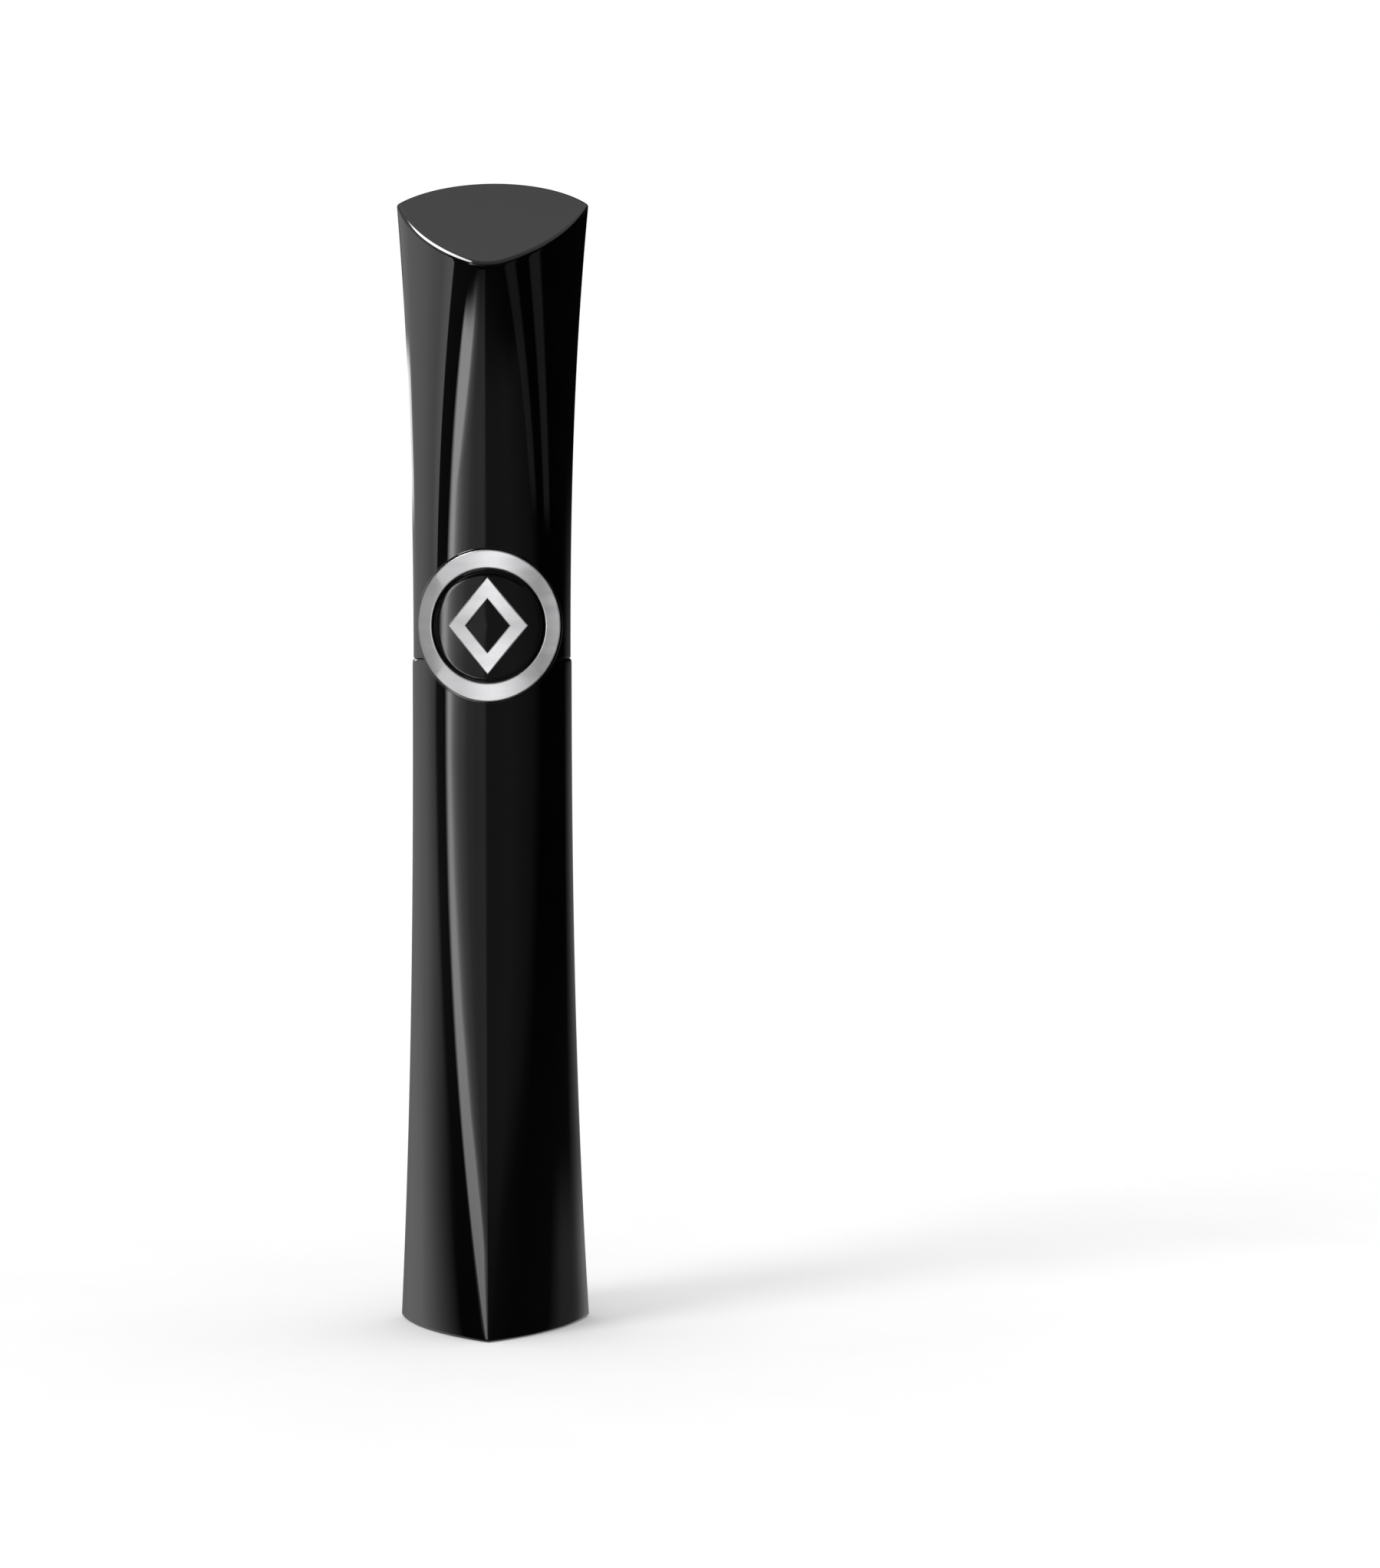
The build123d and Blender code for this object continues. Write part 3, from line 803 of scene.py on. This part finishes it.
def left_box(azimuth, z):
    """A large soft box at the left: sharp right edge high up, fading out towards the floor."""
    high = curve(azimuth, [
        (-180, 0.2), (-150, 0.42), (-135, 0.52), (-112, 0.92), (-94, 0.98), (-84, 1.6), (-83, 0.06), (0, 0),
    ])
    low = curve(azimuth, [(-180, 0.1), (-150, 0.32), (-122, 0.85), (-110, 0.7), (-100, 0.43), (-86, 0.02)])
    middle = curve(azimuth, [
        (-180, 0.12), (-150, 0.33), (-135, 0.56), (-108, 1.0), (-100, 0.95), (-88, 0.68), (-82, 0.1), (0, 0),
    ])
    upper = step_up(z, 66, 98)
    lower = step_up(-z, -48, 16)
    return middle * (1 - upper - lower) + high * upper + low * lower


def strip(azimuth, z):
    """A bright strip at the left front: narrow beside the waist, broad beside both ends."""
    left = curve(z, [(-10, -72), (60, -69), (95, -66)])
    right = curve(z, [
        (2, -23), (11, -19), (15, -30), (20, -40), (30, -48),
        (46, -53), (62, -55), (94, -50), (97, -42), (100, -31),
    ])
    peak = curve(z, [(-10, 3.1), (5, 3.6), (30, 4.7), (62, 5.0), (90, 6.2), (106, 5.5)])
    tail = curve(azimuth - right, [(-5, 1.0), (0, 0.5), (4, 0.32), (10, 0.2), (22, 0.1), (60, 0.05)])
    tail *= 1 - step_up(azimuth, -9, -4)
    rise = step_up(azimuth, left, left + 8)
    top = front_top(azimuth)
    return peak * rise * tail * (1 - step_up(z, top - 1.5, top + 1.5)) * step_up(z, -70, -25)


def front_glow(azimuth, z):
    """The faint light of the room in front."""
    level = curve(azimuth, [(-20, 0.0), (-6, 0.15), (30, 0.17), (44, 0.13), (62, 0.09), (76, 0)])
    top = front_top(azimuth)
    return level * (1 - 0.85 * step_up(z, top - 4, top + 1)) * (0.3 + 0.7 * step_up(z, 0, 26))


def right_cards(azimuth, z):
    """Two thin cards high at the right and a pale one low behind at the right."""
    thin = curve(azimuth, [
        (64, 0), (67, 0.15), (73, 0.15), (75, 0), (85, 0), (87, 0.16), (94, 0.16), (97, 0),
    ])
    back = curve(azimuth, [(128, 0.0), (146, 0.2), (180, 0.2)])
    foot = curve(azimuth, [(104, 0.0), (116, 0.14), (134, 0.1), (146, 0.3), (180, 0.3)])
    return thin * step_up(z, 93, 100) + back * (1 - step_up(z, 40, 110)) + foot * step_up(-z, -2, 18)


def rim_card(azimuth, z):
    """A bright card high behind at the left."""
    level = curve(azimuth, [(-176, 0), (-168, 1.3), (-147, 1.7), (-143, 0)])
    return level * step_up(z, 94, 104) * (1 - step_up(z, 117, 125))


def wall_glow(azimuth, z):
    """Brightness of the wall, repeated fainter above for the cap when it is lifted off."""
    behind = step_up(abs(azimuth), 148, 162) * step_up(z, 128, 134) * (1 - step_up(z, 180, 200))
    share = 1 - behind
    if z > LIFTED_FROM:
        share *= LIFTED_SHARE
        z -= LIFT
    parts = [left_box, strip, front_glow, right_cards, rim_card]
    return ROOM_DARK + share * sum(part(azimuth, z) for part in parts)


def reflector_wall():
    """A round wall of soft light about the tube that only reflections see."""
    columns = WALL_COLUMNS
    rows = int((WALL_Z[1] - WALL_Z[0]) / WALL_ROW)
    verts, glow = [], []
    for row in range(rows + 1):
        z = WALL_Z[0] + row * WALL_ROW
        for column in range(columns):
            azimuth = 360 * column / columns - 180
            a = math.radians(azimuth)
            verts.append(Vector((math.sin(a) * WALL_R, -math.cos(a) * WALL_R, z)) * MM)
            glow.append(wall_glow(azimuth, z))
    faces = []
    for row in range(rows):
        for column in range(columns):
            start = row * columns
            after = (column + 1) % columns
            faces.append((start + column, start + after, start + columns + after, start + columns + column))
    mesh = bpy.data.meshes.new("reflector_wall")
    mesh.from_pydata(verts, [], faces)
    mesh.attributes.new("glow", "FLOAT", "POINT").data.foreach_set("value", glow)
    material = bpy.data.materials.new("reflector_light")
    material.use_nodes = True
    nodes, links = material.node_tree.nodes, material.node_tree.links
    nodes.clear()
    level = nodes.new("ShaderNodeAttribute")
    level.attribute_name = "glow"
    light = nodes.new("ShaderNodeEmission")
    output = nodes.new("ShaderNodeOutputMaterial")
    links.new(level.outputs["Fac"], light.inputs["Strength"])
    links.new(light.outputs["Emission"], output.inputs["Surface"])
    material.cycles.emission_sampling = "NONE"
    mesh.materials.append(material)
    wall = bpy.data.objects.new("reflector_wall", mesh)
    bpy.context.collection.objects.link(wall)
    wall.visible_camera = False
    wall.visible_diffuse = False
    wall.visible_transmission = False
    wall.visible_shadow = False


reflector_wall()


# ---------------------------------------------------------------- world
# The world's directions are unit vectors: across to the right, deep to the back and high upwards.
SOFT_LIGHT = 0.95
HIGH_LIGHT = 0.52
HIGH_LIGHT_END = (0.76, 0.6)
OVAL_LIGHT = 16.0
OVAL_CENTRE = (0.11, 0.74)
OVAL_HALF = (0.39, 0.18)
OVAL_FADE = (1.1, 0.5)
OVAL_SIDE = (-0.13, -0.23)


def background(tree, strength):
    """A plain white background of the given strength."""
    node = tree.nodes.new("ShaderNodeBackground")
    node.inputs["Color"].default_value = (1, 1, 1, 1)
    node.inputs["Strength"].default_value = strength
    return node.outputs["Background"]


def smooth_share(tree, value, start, end):
    """0 up to start, 1 beyond end and smooth between them; start may be the higher of the two."""
    node = tree.nodes.new("ShaderNodeMapRange")
    node.interpolation_type = "SMOOTHSTEP"
    node.inputs["From Min"].default_value = start
    node.inputs["From Max"].default_value = end
    tree.links.new(value, node.inputs["Value"])
    return node.outputs["Result"]


def arithmetic(tree, operation, *values):
    """Result of a maths node whose inputs are sockets or plain numbers."""
    node = tree.nodes.new("ShaderNodeMath")
    node.operation = operation
    for socket, value in zip(node.inputs, values):
        if isinstance(value, (int, float)):
            socket.default_value = value
        else:
            tree.links.new(value, socket)
    return node.outputs["Value"]


def high_light(tree):
    """Strength above the wall: dim white that ends at the back, and a bright oval high at the left."""
    coords = tree.nodes.new("ShaderNodeTexCoord")
    split = tree.nodes.new("ShaderNodeSeparateXYZ")
    tree.links.new(coords.outputs["Generated"], split.inputs["Vector"])
    across, deep, high = split.outputs
    along = arithmetic(tree, "MULTIPLY_ADD", deep, 1 / OVAL_HALF[0], -OVAL_CENTRE[0] / OVAL_HALF[0])
    up = arithmetic(tree, "MULTIPLY_ADD", high, 1 / OVAL_HALF[1], -OVAL_CENTRE[1] / OVAL_HALF[1])
    along_squared = arithmetic(tree, "MULTIPLY", along, along)
    away = arithmetic(tree, "ADD", along_squared, arithmetic(tree, "MULTIPLY", up, up))
    inside = smooth_share(tree, away, *OVAL_FADE)
    oval_share = arithmetic(tree, "MULTIPLY", inside, smooth_share(tree, across, *OVAL_SIDE))
    white = arithmetic(tree, "MULTIPLY", smooth_share(tree, deep, *HIGH_LIGHT_END), HIGH_LIGHT)
    return arithmetic(tree, "MULTIPLY_ADD", oval_share, OVAL_LIGHT, white)


def studio_world():
    """White for the camera, soft white for diffuse light and dimmer light for reflections past the wall."""
    world = bpy.data.worlds.new("studio")
    bpy.context.scene.world = world
    world.use_nodes = True
    tree = world.node_tree
    tree.nodes.clear()
    path = tree.nodes.new("ShaderNodeLightPath")
    shader = background(tree, SOFT_LIGHT)
    high = background(tree, HIGH_LIGHT)
    tree.links.new(high_light(tree), high.node.inputs["Strength"])
    for ray, seen in [("Is Camera Ray", background(tree, 1.0)), ("Is Glossy Ray", high)]:
        mix = tree.nodes.new("ShaderNodeMixShader")
        tree.links.new(path.outputs[ray], mix.inputs["Fac"])
        tree.links.new(shader, mix.inputs[1])
        tree.links.new(seen, mix.inputs[2])
        shader = mix.outputs["Shader"]
    output = tree.nodes.new("ShaderNodeOutputWorld")
    tree.links.new(shader, output.inputs["Surface"])


studio_world()
bpy.context.scene.view_settings.view_transform = "Standard"

# ---------------------------------------------------------------- camera
CAMERA_SIDE = 23.2
CAMERA_DISTANCE = 465.0
CAMERA_HEIGHT = 87.9
AIM_HEIGHT = 63.7
LENS = 91.0
SENSOR_WIDTH = 36.0
CLIP_M = (0.01, 50)

camera_data = bpy.data.cameras.new("camera")
camera_data.lens = LENS
camera_data.sensor_width = SENSOR_WIDTH
camera_data.sensor_fit = "AUTO"
camera = bpy.data.objects.new("camera", camera_data)
bpy.context.collection.objects.link(camera)
camera.location = Vector((CAMERA_SIDE, -CAMERA_DISTANCE, CAMERA_HEIGHT)) * MM
aim = Vector((CAMERA_SIDE, 0, AIM_HEIGHT)) * MM
camera.rotation_mode = "QUATERNION"
camera.rotation_quaternion = (camera.location - aim).to_track_quat("Z", "Y")
camera_data.clip_start, camera_data.clip_end = CLIP_M
bpy.context.scene.camera = camera
